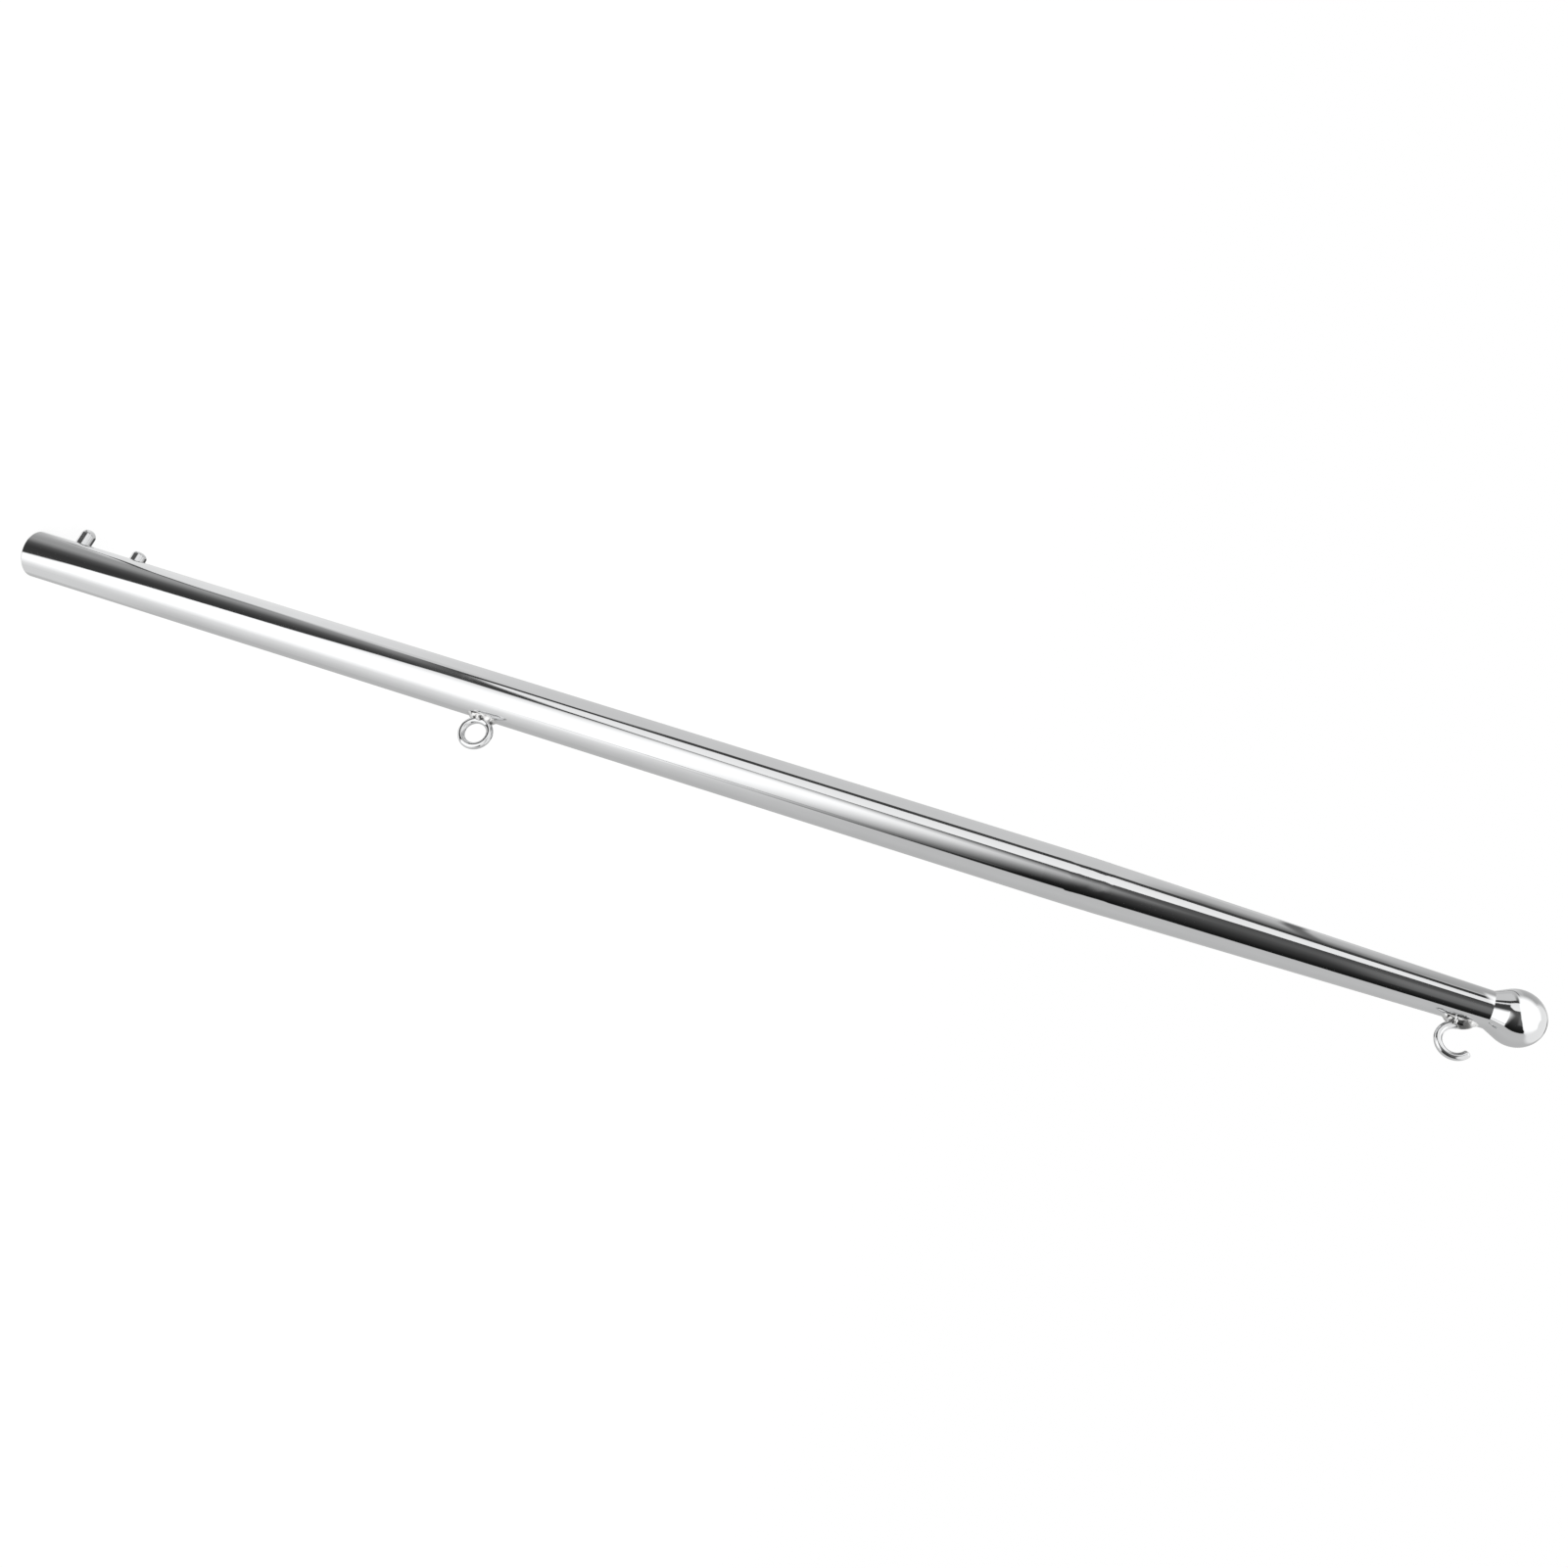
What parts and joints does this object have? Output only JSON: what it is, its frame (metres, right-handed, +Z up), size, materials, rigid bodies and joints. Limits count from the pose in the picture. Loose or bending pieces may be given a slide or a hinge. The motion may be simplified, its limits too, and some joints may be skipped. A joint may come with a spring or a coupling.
{
  "type": "flagpole",
  "caption": "Slim mirror-polished steel flagstaff: a straight tube swaged to a taper, with a ball finial, a halyard ring, an open flag hook and locating pins by its foot.",
  "frame": {"origin": "centre of the foot end of the tube", "axes": "+Z up along the pole, from the foot to the ball; +X towards the halyard ring and the flag hook; the locating pins stand out along -X"},
  "size_m": [0.0533, 0.0258, 0.8],
  "materials": {
    "polished_tube": "mirror-polished stainless steel tube",
    "polished_ball": "mirror-polished stainless steel, turned",
    "polished_wire": "polished stainless steel wire",
    "weld_metal": "stainless weld metal, part polished",
    "polished_pin": "polished stainless steel pin"
  },
  "bodies": {
    "root": {"pole_tube": "polished_tube", "ball_finial": "polished_ball", "halyard_ring": "polished_wire", "ring_weld": "weld_metal", "flag_hook": "polished_wire", "hook_weld": "weld_metal", "long_pin": "polished_pin", "short_pin": "polished_pin"}
  },
  "joints": []
}
